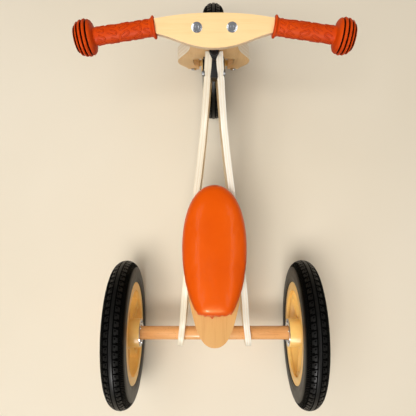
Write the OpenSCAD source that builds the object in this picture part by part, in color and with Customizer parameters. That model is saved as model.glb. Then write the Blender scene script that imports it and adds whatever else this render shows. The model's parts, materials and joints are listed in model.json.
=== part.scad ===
// Three-wheeled wooden balance bike.
// Two birch plywood side panels meet in a narrow V at the steering head and carry a padded seat.
// A wishbone-shaped plywood fork board turns on a raked kingpin behind it. It carries the
// handlebar board, the grips and the front wheel. A beech dowel through the rear ends of the
// side panels carries the two rear wheels.
// Frame: +Y is forward, +Z is up, X = 0 is the symmetry plane, Z = 0 is the ground, and the
// origin is under the middle of the whole bike. Sizes are in millimetres.

/* [Wheels] */
// Radius of the rear wheels over the tread
rear_r = 152; // [130:1:170]
// Radius of the front wheel over the tread
front_r = 126; // [110:1:150]
// Distance between the front and rear axles
wheelbase = 600; // [520:5:700]
// Distance from the symmetry plane to the middle of a rear wheel
half_track = 188; // [150:1:210]
// Width of a tyre
tyre_w = 46; // [36:1:54]
// Height of a tyre above the rim's edge
tyre_h = 46; // [36:1:54]
// Width across the rim's flanges
rim_w = 41; // [30:1:46]
// Number of spokes in a rim
spokes = 5; // [3:1:8]
// Width of a rear hub
rear_hub_w = 64; // [50:1:80]
// Radius of a rear hub
rear_boss = 30; // [24:0.5:36]
// Width of the front hub
front_hub_w = 53; // [44:1:60]
// Radius of the front hub
front_boss = 25; // [20:0.5:30]
// Turn of the right rear wheel from the left one's
right_turn = 18; // [0:1:72]

/* [Frame] */
// Thickness of the side panels
panel_t = 12; // [9:0.5:18]
// Distance from the symmetry plane to the middle of a panel at the rear dowel
panel_x = 68.3; // [55:0.1:90]
// Angle of each side panel to the symmetry plane
splay = 6.67; // [4:0.01:9]
// Radius of the rounded rear end of a panel
end_r = 27; // [22:0.5:34]
// Diameter of the rear dowel
dowel_d = 28; // [22:0.5:36]

/* [Seat] */
// Height of the underside of the seat board
seat_z = 254; // [220:1:300]
// Thickness of the seat board
seat_t = 18; // [12:1:24]
// Thickness of the cushion in the middle
pad_t = 36; // [24:1:50]
// Radius of the cushion's crown across the bike
pad_crown = 112; // [90:1:200]

/* [Steering] */
// Rake of the steering axis
rake = 15; // [8:0.5:25]
// Distance from the front axle to the top of the fork board
fork_len = 355; // [320:1:400]
// Thickness of the fork board
fork_t = 24; // [18:1:30]
// Half the width of the fork's arch
arch_w = 42; // [36:1:48]
// Height of the arch above the axle
arch_h = 150; // [140:1:160]
// Distance from the middle of the fork board to the kingpin's axis
pin_off = 21; // [20:0.5:30]
// Lower end of the head barrel, measured from the front axle along the fork
head_lo = 175; // [170:1:190]
// Upper end of the head barrel, measured from the front axle along the fork
head_hi = 285; // [260:1:300]

/* [Handlebar] */
// Thickness of the handlebar board
bar_t = 20; // [16:1:26]
// Half the length of the handlebar board between the grips
bar_x = 88; // [75:1:110]
// Sweep of the grips towards the rider
sweep = 8.1; // [0:0.1:20]
// Length of a grip
grip_len = 122.5; // [100:0.5:140]

/* [Hidden] */
$fn = 64;
rear_y = -(wheelbase + front_r - rear_r) / 2;
front_y = rear_y + wheelbase;
axle_r = 4;
run = 0.05;
bearing_r = 11;
bearing_w = 7;
hub_in = half_track - rear_hub_w / 2;
barrel_r = 7.4;
flange_t = 2.2;
tip_y = -pin_off + 1.5;
pad_z = seat_z + seat_t;
birch = [0.90, 0.83, 0.70];
birch_face = [0.92, 0.80, 0.60];
maple = [0.95, 0.82, 0.60];
fork_tan = [0.84, 0.68, 0.46];
beech = [0.74, 0.46, 0.27];
orange = [0.90, 0.31, 0.03];
grip_red = [0.76, 0.25, 0.07];
tyre_black = [0.05, 0.05, 0.05];
cream = [0.95, 0.80, 0.52];
zinc = [0.75, 0.76, 0.78];
black = [0.06, 0.06, 0.07];

// ---- Curves ----

// Points of a cubic curve from a to d, without the last point.
function bez(a, b, c, d, n) = [for (i = [0:n - 1]) let(t = i / n, s = 1 - t)
    s * s * s * a + 3 * s * s * t * b + 3 * s * t * t * c + t * t * t * d];

// Points of an arc, both ends included.
function arc(cx, cy, r, a0, a1, n) = [for (i = [0:n]) let(a = a0 + (a1 - a0) * i / n)
    [cx + r * cos(a), cy + r * sin(a)]];

// Right half of an outline followed by its mirror image, for halves that start and end on X = 0.
function both(p) = concat(p, [for (i = [len(p) - 2:-1:1]) [-p[i][0], p[i][1]]]);

// Point on a line parallel to the kingpin, in the panel's side view: back is the distance
// behind the middle of the fork board, h the distance from the front axle along the fork.
function head_pt(back, h) = [
    (wheelbase - back * cos(rake) - h * sin(rake)) / cos(splay),
    front_r - back * sin(rake) + h * cos(rake)];

// Distance from the symmetry plane to a panel's inner face, y behind which is measured
// from the rear axle.
function inner_x(y) = panel_x - y * tan(splay) - panel_t / 2 / cos(splay);
function outer_x(y) = inner_x(y) + panel_t / cos(splay);

// ---- Frames of reference ----

// Steering frame: the origin is the middle of the front axle, Z runs up along the fork board.
module steer() {
    translate([0, front_y, front_r])
        rotate([rake, 0, 0])
            children();
}

// Panel frame of the right-hand panel: X is outwards from the panel's middle, Y runs forward
// along the panel from the rear dowel, Z is up.
module panel_frame() {
    translate([panel_x, rear_y, 0])
        rotate([0, 0, splay])
            children();
}

// Wheel frame: X along the axle, outwards on the right.
module rear_right() {
    translate([half_track, rear_y, rear_r])
        children();
}

module along_x(r, x0, x1) {
    translate([x0, 0, 0])
        rotate([0, 90, 0])
            cylinder(r = r, h = x1 - x0);
}

module along_y(r, y0, y1) {
    translate([0, y1, 0])
        rotate([90, 0, 0])
            cylinder(r = r, h = y1 - y0);
}

module along_z(r, z0, z1) {
    translate([0, 0, z0])
        cylinder(r = r, h = z1 - z0);
}

// Hexagonal prism along Z.
module hex(r, z0, z1) {
    translate([0, 0, z0])
        linear_extrude(z1 - z0)
            circle(r = r, $fn = 6);
}

// ---- Side panels ----

// Side view of a panel, from the rear dowel forward.
function panel_outline() = let(
        top = head_pt(-tip_y, head_hi - 1),
        low = head_pt(-tip_y, head_lo + 4.5),
        crest = rear_r + end_r)
    concat(
        arc(0, rear_r, end_r, 270, 96, 16),
        bez([0, crest], [48, crest], [62, seat_z - 3], [124, seat_z], 12),
        [[124, seat_z], [286, seat_z]],
        bez([300, seat_z - 0.6], [340, seat_z - 6], [372, 244], [404, 262], 8),
        bez([404, 262], [446, 286], [478, 344], top, 12),
        [top, low],
        bez(low - [3, 1.6], [488, 256], [440, 168], [330, 150], 14),
        bez([330, 150], [232, 134], [110, rear_r - end_r], [0, rear_r - end_r], 12));

// V-shaped notch between the tips of the panels, with its flanks touching the barrel.
module tip_vee() {
    translate([0, -pin_off])
        polygon([[-2.4, -11.2], [2.4, -11.2], [9, 1], [9, 8], [-9, 8], [-9, 1]]);
}

// The rear part of the notch, which the barrel's web fills.
module tip_web() {
    translate([0, -pin_off])
        polygon([[-2.4, -11.2], [2.4, -11.2], [7.35, -2.05], [-7.35, -2.05]]);
}

head_bolt_h = [head_lo + 18, head_hi - 34];
head_bolt_back = pin_off + 29;
seat_bolt_u = [112, 250];

module head_bolt_frame(i) {
    p = head_pt(head_bolt_back, head_bolt_h[i]);
    translate([0, rear_y + p[0] * cos(splay), p[1]])
        children();
}

function head_seat_x(i) = outer_x(head_pt(head_bolt_back, head_bolt_h[i])[0] * cos(splay)) - 0.9;

module panel_right_body() {
    difference() {
        panel_frame()
            translate([-panel_t / 2, 0, 0])
                rotate([90, 0, 90])
                    linear_extrude(panel_t)
                        polygon(panel_outline());
        // Rear dowel
        translate([0, rear_y, rear_r])
            along_x(dowel_d / 2, 0, 150);
        // Notch around the head barrel
        steer()
            translate([0, 0, head_lo - 40])
                linear_extrude(head_hi - head_lo + 80)
                    tip_vee();
        // Cross bolts at the head, with spot faces
        for (i = [0, 1]) {
            head_bolt_frame(i)
                along_x(3, -5, 60);
            head_bolt_frame(i)
                along_x(6.8, head_seat_x(i), 60);
        }
        // Bolts into the seat blocks
        for (u = seat_bolt_u)
            for (z = [188, 228])
                panel_frame()
                    translate([0, u, z]) {
                        along_x(3, -20, 20);
                        along_x(6, panel_t / 2 - 4, 20);
                    }
        // Pin through the rear end into the dowel
        panel_frame()
            along_z(2, 100, rear_r);
    }
}

module frame_panel_right() {
    color(birch)
        panel_right_body();
}

module frame_panel_left() {
    color(birch)
        mirror([1, 0, 0])
            panel_right_body();
}

// Everything between the inner faces of the two panels.
module between_panels(y0, y1, z0, z1) {
    translate([0, rear_y, z0])
        linear_extrude(z1 - z0)
            polygon([[-inner_x(y0), y0], [inner_x(y0), y0], [inner_x(y1), y1], [-inner_x(y1), y1]]);
}

// ---- Steering head ----

module head_barrel() {
    color(black)
        difference() {
            union() {
                // Barrel around the kingpin
                steer()
                    translate([0, -pin_off, 0])
                        along_z(barrel_r, head_lo + 1.2, head_hi - 1.2);
                // Web that fills the notch between the tips
                steer()
                    translate([0, 0, head_lo + 3])
                        linear_extrude(head_hi - head_lo - 6)
                            tip_web();
                // Tongue between the panels
                intersection() {
                    between_panels(430, 540, 200, 420);
                    steer()
                        translate([-20, -head_bolt_back - 9, head_lo + 8])
                            cube([40, head_bolt_back - pin_off - 1.5, head_hi - head_lo - 34]);
                }
            }
            // Bore for the kingpin and seats for the bushes
            steer()
                translate([0, -pin_off, 0])
                    along_z(4.6, head_lo - 5, head_hi + 5);
            steer()
                translate([0, -pin_off, 0])
                    along_z(6, head_lo - 5, head_lo + 20);
            steer()
                translate([0, -pin_off, 0])
                    along_z(6, head_hi - 20, head_hi + 5);
            for (i = [0, 1])
                head_bolt_frame(i)
                    along_x(3, -30, 30);
        }
}

// Flanged bush at the bottom of the barrel.
module bush() {
    difference() {
        union() {
            along_z(6, 0, 20);
            along_z(barrel_r, 0, 1.2);
        }
        along_z(axle_r + run, -1, 21);
    }
}

module head_bushes() {
    color(zinc)
        steer() {
            translate([0, -pin_off, head_lo])
                bush();
            translate([0, -pin_off, head_hi])
                mirror([0, 0, 1])
                    bush();
        }
}

module head_bolts() {
    color(zinc)
        for (i = [0, 1])
            head_bolt_frame(i)
                difference() {
                    union() {
                        along_x(3, -head_seat_x(i) - 5, head_seat_x(i));
                        along_x(5.4, head_seat_x(i), head_seat_x(i) + 3.2);
                    }
                    translate([head_seat_x(i) + 1.4, 0, 0])
                        rotate([0, 90, 0])
                            linear_extrude(5)
                                circle(r = 2.4, $fn = 6);
                }
}

module head_nuts() {
    color(zinc)
        for (i = [0, 1])
            head_bolt_frame(i)
                translate([-head_seat_x(i), 0, 0])
                    rotate([0, -90, 0])
                        difference() {
                            union() {
                                along_z(6.2, 0, 1);
                                hex(5.6, 1, 4.4);
                            }
                            along_z(3, -1, 8);
                        }
}

// ---- Seat ----

// Plan of the seat board, Y measured from the rear axle: a rounded tail and a broad front.
function seat_half() = concat(
    bez([0, -7], [18, -7], [26, 8], [32, 23], 8),
    bez([32, 23], [39.5, 41], [47, 74], [53, 112], 8),
    bez([53, 112], [57.5, 140], [59, 160], [59, 186], 6),
    bez([59, 186], [59, 238], [41, 290], [0, 290], 12),
    [[0, 290]]);

// Plan of the cushion.
function pad_half() = concat(
    bez([0, 47], [24, 47.5], [33, 47], [37, 60], 8),
    bez([37, 60], [45, 81], [53, 104], [56, 128], 8),
    bez([56, 128], [59, 146], [60.5, 160], [60.5, 180], 5),
    bez([60.5, 180], [60.5, 238], [42, 297], [0, 297], 14),
    [[0, 297]]);

seat_screw_xy = [[22, 112], [16, 250]];

module seat_board() {
    color(birch_face)
        difference() {
            translate([0, rear_y, seat_z])
                linear_extrude(seat_t)
                    polygon(both(seat_half()));
            for (p = seat_screw_xy)
                for (s = [-1, 1])
                    translate([s * p[0], rear_y + p[1], 0]) {
                        along_z(2.5, seat_z - 5, pad_z + 5);
                        along_z(5, pad_z - 3.5, pad_z + 5);
                    }
        }
}

module seat_cushion() {
    color(orange)
        intersection() {
            translate([0, rear_y, pad_z])
                linear_extrude(pad_t + 1)
                    polygon(both(pad_half()));
            translate([0, rear_y, pad_z + pad_t - pad_crown])
                along_y(pad_crown, 0, 340);
        }
}

module seat_screws() {
    color(zinc)
        for (p = seat_screw_xy)
            for (s = [-1, 1])
                translate([s * p[0], rear_y + p[1], 0])
                    difference() {
                        union() {
                            along_z(2.5, seat_z - 20, pad_z - 1);
                            along_z(5, pad_z - 3.5, pad_z - 0.5);
                        }
                        hex(1.8, pad_z - 2.5, pad_z + 1);
                    }
}

module seat_block(u) {
    y = u * cos(splay);
    difference() {
        between_panels(y - 15, y + 15, 166, seat_z);
        for (z = [188, 228])
            for (m = [0, 1])
                mirror([m, 0, 0])
                    panel_frame()
                        translate([0, u, z])
                            along_x(3, -26, 0);
        for (p = seat_screw_xy)
            for (s = [-1, 1])
                translate([s * p[0], rear_y + p[1], 0])
                    along_z(2.5, seat_z - 20, seat_z + 5);
    }
}

module seat_block_rear() {
    color(birch_face)
        seat_block(seat_bolt_u[0]);
}

module seat_block_front() {
    color(birch_face)
        seat_block(seat_bolt_u[1]);
}

module seat_block_bolts() {
    color(zinc)
        for (m = [0, 1])
            mirror([m, 0, 0])
                for (u = seat_bolt_u)
                    for (z = [188, 228])
                        panel_frame()
                            translate([panel_t / 2 - 4, u, z])
                                difference() {
                                    union() {
                                        along_x(3, -panel_t / 2 - 22, 0);
                                        along_x(6, 0, 3.5);
                                    }
                                    translate([1.2, 0, 0])
                                        rotate([0, 90, 0])
                                            linear_extrude(4)
                                                circle(r = 2.4, $fn = 6);
                                }
}

// ---- Rear axle ----

module rear_dowel() {
    color(beech)
        translate([0, rear_y, rear_r])
            difference() {
                along_x(dowel_d / 2, -hub_in + 0.8, hub_in - 0.8);
                along_x(axle_r, 95, 200);
                along_x(axle_r, -200, -95);
                for (s = [-1, 1])
                    translate([s * panel_x, 0, 0])
                        along_z(2, -30, 0);
            }
}

module dowel_pins() {
    color(zinc)
        for (s = [-1, 1])
            translate([s * panel_x, rear_y, rear_r])
                along_z(2, -end_r + 0.5, 0);
}

// Shoulder bolt that a rear wheel turns on.
module axle_bolt() {
    translate([half_track, rear_y, rear_r])
        difference() {
            union() {
                along_x(axle_r, 95 - half_track, 28);
                along_x(8, 27.4, 29);
                translate([29, 0, 0])
                    rotate([0, 90, 0])
                        hex(6.8, 0, 5.5);
            }
            along_x(3, 32.5, 40);
        }
}

module rear_axle_right() {
    color(zinc)
        axle_bolt();
}

module rear_axle_left() {
    color(zinc)
        mirror([1, 0, 0])
            axle_bolt();
}

module axle_washers() {
    color(zinc)
        for (m = [0, 1])
            mirror([m, 0, 0])
                translate([half_track, rear_y, rear_r])
                    difference() {
                        along_x(7, -rear_hub_w / 2 - 0.8, -rear_hub_w / 2 + 1.6);
                        along_x(axle_r, -60, 0);
                    }
}

// ---- Fork board ----

// Right half of the fork board's outline, X across and Y up along the fork.
function fork_half() = concat(
    [[0, fork_len], [40, fork_len]],
    bez([40, 300], [40, 240], [58, 196], [67, 154], 12),
    bez([67, 154], [74.5, 126], [75, 92], [70, 60], 10),
    bez([70, 60], [66, 36], [58, 18], [58, -2], 6),
    arc(44, -2, 14, 0, -90, 6),
    arc(38, -10, 6, -90, -180, 4),
    bez([32, 20], [33, 38], [arch_w, 46], [arch_w, 70], 6),
    arc(arch_w - 16, arch_h - 16, 16, 0, 90, 8),
    [[0, arch_h]]);

bar_bolt_x = 26;
nut_h = fork_len - 42;

module fork_board() {
    color(fork_tan)
        steer()
            difference() {
                translate([0, fork_t / 2, 0])
                    rotate([90, 0, 0])
                        linear_extrude(fork_t)
                            polygon(both(fork_half()));
                along_x(axle_r, -80, 80);
                for (s = [-1, 1]) {
                    // Handlebar bolt and barrel nut
                    translate([s * bar_bolt_x, 0, 0])
                        along_z(axle_r, nut_h - 10, fork_len + 5);
                    translate([s * bar_bolt_x, 0, nut_h])
                        along_y(6, -20, 20);
                    // Axle locking screw
                    translate([s * 45, 0, 0])
                        along_y(2.5, -20, 0);
                    // Bracket screws
                    for (h = bracket_h)
                        translate([s * 13, 0, h])
                            along_y(2, -20, 2);
                }
            }
}

module barrel_nuts() {
    color(zinc)
        steer()
            for (s = [-1, 1])
                translate([s * bar_bolt_x, 0, nut_h])
                    difference() {
                        along_y(6, -10, 10);
                        along_z(axle_r, -10, 10);
                        along_y(1.2, -20, -7.5);
                    }
}

module handlebar_bolts() {
    color(zinc)
        steer()
            for (s = [-1, 1])
                translate([s * bar_bolt_x, 0, fork_len + bar_t])
                    difference() {
                        union() {
                            along_z(axle_r, nut_h - 9 - fork_len - bar_t, 0);
                            along_z(7.8, 0, 2.6);
                            along_z(6.2, 2.6, 3.6);
                        }
                        hex(2.9, 0.8, 6);
                    }
}

// ---- Steering brackets and kingpin ----

bracket_h = [head_lo - 14, head_hi + 22];

// Angle bracket under the barrel: a lug for the kingpin and a flange against the fork board.
module bracket(flange) {
    difference() {
        union() {
            // Lug
            translate([0, 0, -5.7]) {
                translate([0, -pin_off, 0])
                    cylinder(r = 8, h = 5.4);
                translate([-8, -pin_off, 0])
                    cube([16, pin_off - fork_t / 2, 5.4]);
            }
            // Flange
            translate([-20, -fork_t / 2 - flange_t, -flange])
                cube([40, flange_t, flange - 0.3]);
        }
        translate([0, -pin_off, 0])
            along_z(axle_r, -10, 5);
    }
}

module lower_bracket() {
    color(black)
        steer()
            difference() {
                translate([0, 0, head_lo])
                    bracket(23);
                for (s = [-1, 1])
                    translate([s * 13, 0, bracket_h[0]])
                        along_y(2, -20, 0);
            }
}

module upper_bracket() {
    color(black)
        steer()
            difference() {
                translate([0, 0, head_hi])
                    mirror([0, 0, 1])
                        bracket(32);
                for (s = [-1, 1])
                    translate([s * 13, 0, bracket_h[1]])
                        along_y(2, -20, 0);
            }
}

module bracket_screws() {
    color(zinc)
        steer()
            for (s = [-1, 1])
                for (h = bracket_h)
                    translate([s * 13, -fork_t / 2 - flange_t, h])
                        difference() {
                            union() {
                                along_y(2, 0, 16);
                                along_y(3.8, -2.2, 0);
                            }
                            along_y(1.3, -3, -1);
                        }
}

module kingpin() {
    color(zinc)
        steer()
            translate([0, -pin_off, 0])
                difference() {
                    union() {
                        along_z(axle_r, head_lo - 16, head_hi + 5.7);
                        along_z(6.5, head_hi + 5.7, head_hi + 12.5);
                    }
                    hex(3.2, head_hi + 8.5, head_hi + 14);
                }
}

module kingpin_nut() {
    color(zinc)
        steer()
            translate([0, -pin_off, 0])
                difference() {
                    union() {
                        hex(7.2, head_lo - 12.4, head_lo - 6.7);
                        along_z(6.6, head_lo - 6.7, head_lo - 5.7);
                    }
                    along_z(axle_r, head_lo - 20, head_lo);
                }
}

// ---- Handlebar ----

// Right half of the handlebar board's plan, X across and Y forward. The end is square to the
// grip.
function bar_half() = let(cut = 10.5 * tan(sweep)) concat(
    bez([0, -28.6], [37, -28.6], [58, -13.5], [bar_x - cut, -7.5], 12),
    [[bar_x - cut, -7.5], [bar_x + cut, 13.5]],
    bez([bar_x - 4, 14.1], [68, 17], [40, 21], [0, 21], 10),
    [[0, 21]]);

// Grip frame on the right: Z outwards along the grip from the board's end.
module grip_frame() {
    translate([bar_x, 3, fork_len + bar_t / 2])
        rotate([0, 0, -sweep])
            rotate([0, 90, 0])
                children();
}

module handlebar_board() {
    color(maple)
        steer()
            difference() {
                union() {
                    translate([0, 0, fork_len])
                        linear_extrude(bar_t)
                            polygon(both(bar_half()));
                    for (m = [0, 1])
                        mirror([m, 0, 0])
                            grip_frame()
                                along_z(9.5, -14, grip_len - 12);
                }
                for (s = [-1, 1])
                    translate([s * bar_bolt_x, 0, 0])
                        along_z(axle_r, fork_len - 5, fork_len + bar_t + 5);
            }
}

ball_z = 93;
ball_r = 27.4;

// Half section of a grip: X is the radius, Y the distance from the board's end.
function grip_section() = concat(
    [[9.5, 0.4], [16.4, 0.4], [17, 2.4], [16.4, 4.4], [12.9, 5.6]],
    [[13.3, ball_z - 1], [15, ball_z], [22, ball_z + 1.4], [25.8, ball_z + 5]],
    [[26, ball_z + 8], [18.5, ball_z + 8.4], [18.5, ball_z + 10.6], [26.6, ball_z + 11]],
    [[ball_r, ball_z + 13], [26.8, ball_z + 15], [19, ball_z + 15.4], [19, ball_z + 17.4]],
    [[26.6, ball_z + 17.8], [26.6, ball_z + 19.2], [25.4, ball_z + 21], [18, ball_z + 21.4]],
    [[18, ball_z + 23], [24, ball_z + 23.4], [23, ball_z + 25.4], [15, ball_z + 25.8]],
    [[15, ball_z + 27], [19, ball_z + 27.3], [12, grip_len - 0.5], [0, grip_len]],
    [[0, grip_len - 12], [9.5, grip_len - 12]]);

module grip() {
    steer()
        grip_frame()
            rotate_extrude()
                polygon(grip_section());
}

module grip_right() {
    color(grip_red)
        grip();
}

module grip_left() {
    color(grip_red)
        mirror([1, 0, 0])
            grip();
}

// ---- Front axle ----

module front_axle() {
    color(zinc)
        steer()
            along_x(axle_r, -52.5, 52.5);
}

module front_spacers() {
    color(zinc)
        steer()
            for (m = [0, 1])
                mirror([m, 0, 0])
                    difference() {
                        along_x(6.5, front_hub_w / 2 + 0.4, 32);
                        along_x(axle_r, 0, 60);
                    }
}

module axle_screws() {
    color(zinc)
        steer()
            for (s = [-1, 1])
                translate([s * 45, -fork_t / 2, 0])
                    difference() {
                        union() {
                            along_y(2.5, 0, fork_t / 2 - axle_r);
                            along_y(6, -4, 0);
                        }
                        along_y(2, -5, -1.8);
                    }
}

// ---- Wheels ----

// Tyre with its axis along X: r is the outer radius, wall the thickness of the rubber.
module tyre(r, wall) {
    rc = r - tyre_w / 2;
    rb = r - tyre_h;
    rotate([0, 90, 0])
        rotate_extrude($fn = 96)
            difference() {
                union() {
                    translate([rc, 0])
                        circle(r = tyre_w / 2);
                    polygon([[rb - 5, -17.8], [rb + 0.6, -17.8], [rb + 1.6, -21.6], [rc, -23],
                        [rc, 23], [rb + 1.6, 21.6], [rb + 0.6, 17.8], [rb - 5, 17.8]]);
                }
                // Air space, open towards the rim
                translate([rc - 1, 0])
                    circle(r = tyre_w / 2 - wall);
                translate([rb - 10, -12.5])
                    square([18, 25]);
                // Grooves beside the centre rib
                translate([r - 1.6, 2.6])
                    square([5, 2.2]);
                translate([r - 1.6, -4.8])
                    square([5, 2.2]);
            }
}

// Spoke that stands along Z: it widens towards the rim and has a recess in each side.
module spoke(r, boss) {
    difference() {
        intersection() {
            translate([-25, 0, 0])
                rotate([90, 0, 90])
                    linear_extrude(50)
                        polygon([[-12, boss - 5], [12, boss - 5], [8.5, boss + 12], [8.5, r - 28],
                            [15, r - 10], [-15, r - 10], [-8.5, r - 28], [-8.5, boss + 12]]);
            translate([0, 25, 0])
                rotate([90, 0, 0])
                    linear_extrude(50)
                        polygon([[-9, boss - 5], [9, boss - 5], [12, r - 28], [16, r - 10],
                            [-16, r - 10], [-12, r - 28]]);
        }
        for (x = [-30, 3])
            translate([x, 0, 0])
                rotate([90, 0, 90])
                    linear_extrude(27)
                        polygon([[-6, boss + 3], [6, boss + 3], [5.5, r - 25], [-5.5, r - 25]]);
    }
}

// Rim with its axis along X: r is the radius of its flanges, hub its width at the hub and
// boss the radius of the hub.
module rim(r, hub, boss) {
    difference() {
        union() {
            // Channel for the tyre
            rotate([0, 90, 0])
                rotate_extrude($fn = 96)
                    polygon([[r - 17, -rim_w / 2], [r - 0.3, -rim_w / 2], [r - 0.3, -17.8],
                        [r - 5, -17.8], [r - 5, 17.8], [r - 0.3, 17.8], [r - 0.3, rim_w / 2],
                        [r - 17, rim_w / 2], [r - 16, 15], [r - 12.5, 12], [r - 12.5, -12],
                        [r - 16, -15]]);
            // Hub
            along_x(boss, -hub / 2, hub / 2);
            for (k = [0:spokes - 1])
                rotate([k * 360 / spokes, 0, 0])
                    spoke(r, boss);
        }
        // Bore and bearing seats
        along_x(8, -50, 50);
        along_x(bearing_r, -50, -hub / 2 + bearing_w + 2);
        along_x(bearing_r, hub / 2 - bearing_w - 5, 50);
        // Hole for the valve
        rotate([180 / spokes, 0, 0])
            along_z(3.2, r - 30, r + 5);
    }
}

// Ball bearing, X from x0 outwards.
module bearing(x0) {
    difference() {
        along_x(bearing_r, x0, x0 + bearing_w);
        along_x(axle_r + run, x0 - 1, x0 + bearing_w + 1);
        for (x = [x0 - 1, x0 + bearing_w - 0.4])
            difference() {
                along_x(9.2, x, x + 1.4);
                along_x(6.2, x - 1, x + 3);
            }
    }
}

module valve(r) {
    rotate([180 / spokes, 0, 0])
        along_z(3.2, r - 27, r - 3);
}

// Ring on a rear hub's inner face, with five screws.
ring_x = -rear_hub_w / 2;
ring_r = rear_boss - 1.5;
ring_screw_r = ring_r - 6;

module hub_ring() {
    difference() {
        union() {
            along_x(ring_r, ring_x - 1.6, ring_x);
        }
        along_x(ring_r - 12, ring_x - 5, ring_x + 5);
        for (k = [0:4])
            rotate([k * 72 + 36, 0, 0])
                translate([0, 0, ring_screw_r])
                    along_x(1.4, ring_x - 5, ring_x + 5);
    }
}

module hub_screws() {
    for (k = [0:4])
        rotate([k * 72 + 36, 0, 0])
            translate([0, 0, ring_screw_r])
                union() {
                    along_x(1.4, ring_x - 1.6, ring_x + 8);
                    along_x(2.4, ring_x - 3, ring_x - 1.6);
                }
}

// Rim of a rear wheel with the screw holes in its inner face.
module rear_rim() {
    difference() {
        rim(rear_r - tyre_h, rear_hub_w, rear_boss);
        for (k = [0:4])
            rotate([k * 72 + 36, 0, 0])
                translate([0, 0, ring_screw_r])
                    along_x(1.4, ring_x - 5, ring_x + 8);
    }
}

module rear_bearings() {
    bearing(-rear_hub_w / 2 + 2);
    bearing(rear_hub_w / 2 - 12);
}

module rear_rim_right() {
    color(cream)
        rear_right()
            rotate([right_turn, 0, 0])
                rear_rim();
}

module rear_tyre_right() {
    color(tyre_black)
        rear_right()
            tyre(rear_r, 5.5);
}

module rear_bearings_right() {
    color(zinc)
        rear_right()
            rear_bearings();
}

module hub_ring_right() {
    color(zinc)
        rear_right()
            rotate([right_turn, 0, 0])
                hub_ring();
}

module hub_screws_right() {
    color(zinc)
        rear_right()
            rotate([right_turn, 0, 0])
                hub_screws();
}

module rear_valve_right() {
    color(black)
        rear_right()
            rotate([right_turn, 0, 0])
                valve(rear_r - tyre_h);
}

module rear_rim_left() {
    color(cream)
        mirror([1, 0, 0])
            rear_right()
                rear_rim();
}

module rear_tyre_left() {
    color(tyre_black)
        mirror([1, 0, 0])
            rear_right()
                tyre(rear_r, 5.5);
}

module rear_bearings_left() {
    color(zinc)
        mirror([1, 0, 0])
            rear_right()
                rear_bearings();
}

module hub_ring_left() {
    color(zinc)
        mirror([1, 0, 0])
            rear_right()
                hub_ring();
}

module hub_screws_left() {
    color(zinc)
        mirror([1, 0, 0])
            rear_right()
                hub_screws();
}

module rear_valve_left() {
    color(black)
        mirror([1, 0, 0])
            rear_right()
                valve(rear_r - tyre_h);
}

module front_rim() {
    color(cream)
        translate([0, front_y, front_r])
            rim(front_r - tyre_h, front_hub_w, front_boss);
}

module front_tyre() {
    color(tyre_black)
        translate([0, front_y, front_r])
            tyre(front_r, 6);
}

module front_bearings() {
    color(zinc)
        translate([0, front_y, front_r]) {
            bearing(-front_hub_w / 2);
            bearing(front_hub_w / 2 - bearing_w);
        }
}

module front_valve() {
    color(black)
        translate([0, front_y, front_r])
            valve(front_r - tyre_h);
}

// ---- Selection ----

frame_panel_left();
frame_panel_right();
head_barrel();
head_bushes();
head_bolts();
head_nuts();
seat_block_front();
seat_block_rear();
seat_block_bolts();
seat_board();
seat_screws();
seat_cushion();
rear_dowel();
dowel_pins();
rear_axle_left();
rear_axle_right();
axle_washers();
fork_board();
upper_bracket();
lower_bracket();
bracket_screws();
kingpin();
kingpin_nut();
handlebar_board();
handlebar_bolts();
barrel_nuts();
grip_left();
grip_right();
front_axle();
front_spacers();
axle_screws();
front_rim();
front_tyre();
front_bearings();
front_valve();
rear_rim_left();
rear_tyre_left();
rear_bearings_left();
hub_ring_left();
hub_screws_left();
rear_valve_left();
rear_rim_right();
rear_tyre_right();
rear_bearings_right();
hub_ring_right();
hub_screws_right();
rear_valve_right();
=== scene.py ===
import bpy
import json
import math
import numpy as np
from mathutils import Matrix, Vector


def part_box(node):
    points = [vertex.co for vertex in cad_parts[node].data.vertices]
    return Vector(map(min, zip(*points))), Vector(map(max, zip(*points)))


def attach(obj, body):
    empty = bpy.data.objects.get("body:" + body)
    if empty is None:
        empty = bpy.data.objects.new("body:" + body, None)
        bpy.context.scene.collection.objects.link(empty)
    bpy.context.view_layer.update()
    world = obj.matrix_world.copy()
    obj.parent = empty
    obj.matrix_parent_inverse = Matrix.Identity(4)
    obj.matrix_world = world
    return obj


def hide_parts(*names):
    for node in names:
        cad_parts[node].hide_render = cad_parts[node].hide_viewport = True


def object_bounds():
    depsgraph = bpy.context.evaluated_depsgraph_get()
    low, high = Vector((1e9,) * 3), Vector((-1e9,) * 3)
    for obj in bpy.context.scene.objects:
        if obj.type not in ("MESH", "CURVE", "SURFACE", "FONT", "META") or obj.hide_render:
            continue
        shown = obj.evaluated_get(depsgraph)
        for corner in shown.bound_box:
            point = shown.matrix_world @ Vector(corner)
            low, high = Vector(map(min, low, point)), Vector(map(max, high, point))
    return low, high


# Three-wheeled balance bike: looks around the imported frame. +Y forward, +Z up, metres, with the
# ground under the tyres at Z = 0. Profiles and patterns are written in millimetres.

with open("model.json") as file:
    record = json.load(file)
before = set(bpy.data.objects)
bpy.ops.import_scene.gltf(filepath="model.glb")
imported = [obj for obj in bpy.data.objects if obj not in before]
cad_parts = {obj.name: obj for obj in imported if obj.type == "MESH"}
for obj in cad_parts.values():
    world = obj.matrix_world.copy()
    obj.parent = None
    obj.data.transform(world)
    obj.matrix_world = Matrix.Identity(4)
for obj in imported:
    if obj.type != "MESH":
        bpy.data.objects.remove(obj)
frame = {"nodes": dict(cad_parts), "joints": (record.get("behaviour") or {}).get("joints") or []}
cad_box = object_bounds()
NODES = frame["nodes"]
JOINTS = {j["name"]: j for j in frame["joints"]}
MM = 1000  # millimetres in a metre


# ---------------------------------------------------------------- places from the frame

def centre(node):
    lo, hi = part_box(node)
    return (lo + hi) / 2


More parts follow.
